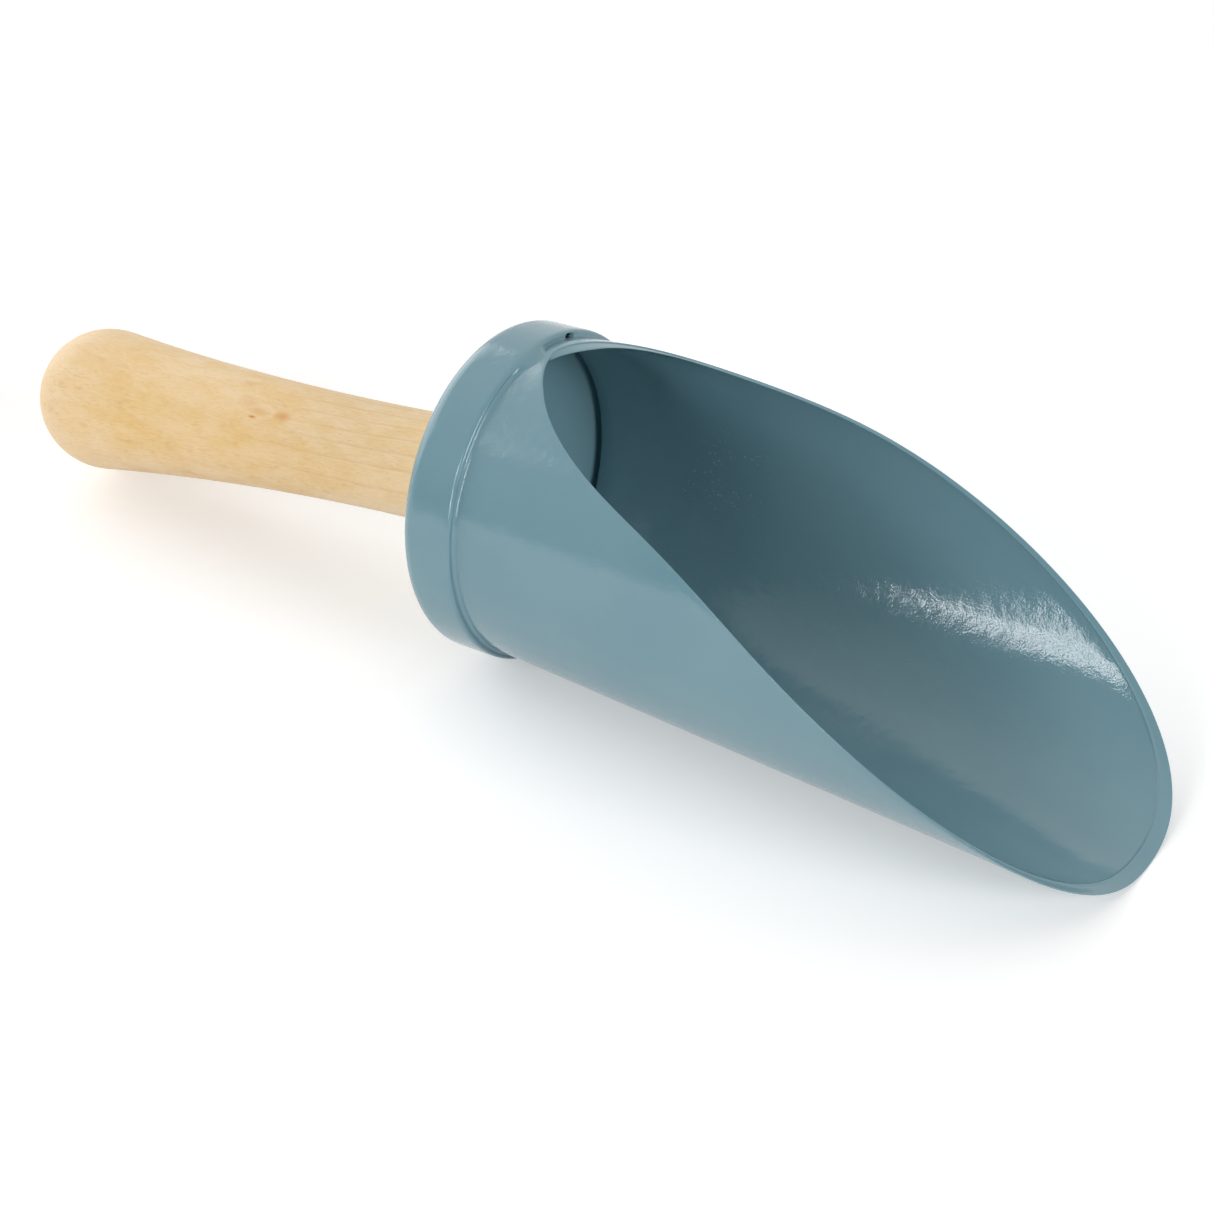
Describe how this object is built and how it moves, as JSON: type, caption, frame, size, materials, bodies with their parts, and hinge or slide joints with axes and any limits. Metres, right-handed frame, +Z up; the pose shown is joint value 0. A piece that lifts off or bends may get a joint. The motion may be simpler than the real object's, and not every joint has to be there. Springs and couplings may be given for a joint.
{
  "type": "feed scoop",
  "caption": "Hand scoop for feed: a flared trough of rolled and painted sheet steel in a hemmed end cap, on a turned wooden handle.",
  "frame": {"origin": "middle of the underside of the overall box, on the surface that the scoop lies on", "axes": "+X from the handle to the lip, +Y to the left of someone who looks along +X, +Z up"},
  "size_m": [0.3362, 0.0942, 0.0844],
  "materials": {
    "painted_steel": "glossy blue-grey powder coat",
    "turned_wood": "sanded pale birch under clear oil",
    "plated_steel": "bright zinc plate"
  },
  "bodies": {
    "root": {"scoop_body": "painted_steel", "end_cap": "painted_steel", "handle": "turned_wood", "washer": "plated_steel", "handle_screw": "plated_steel"}
  },
  "joints": []
}
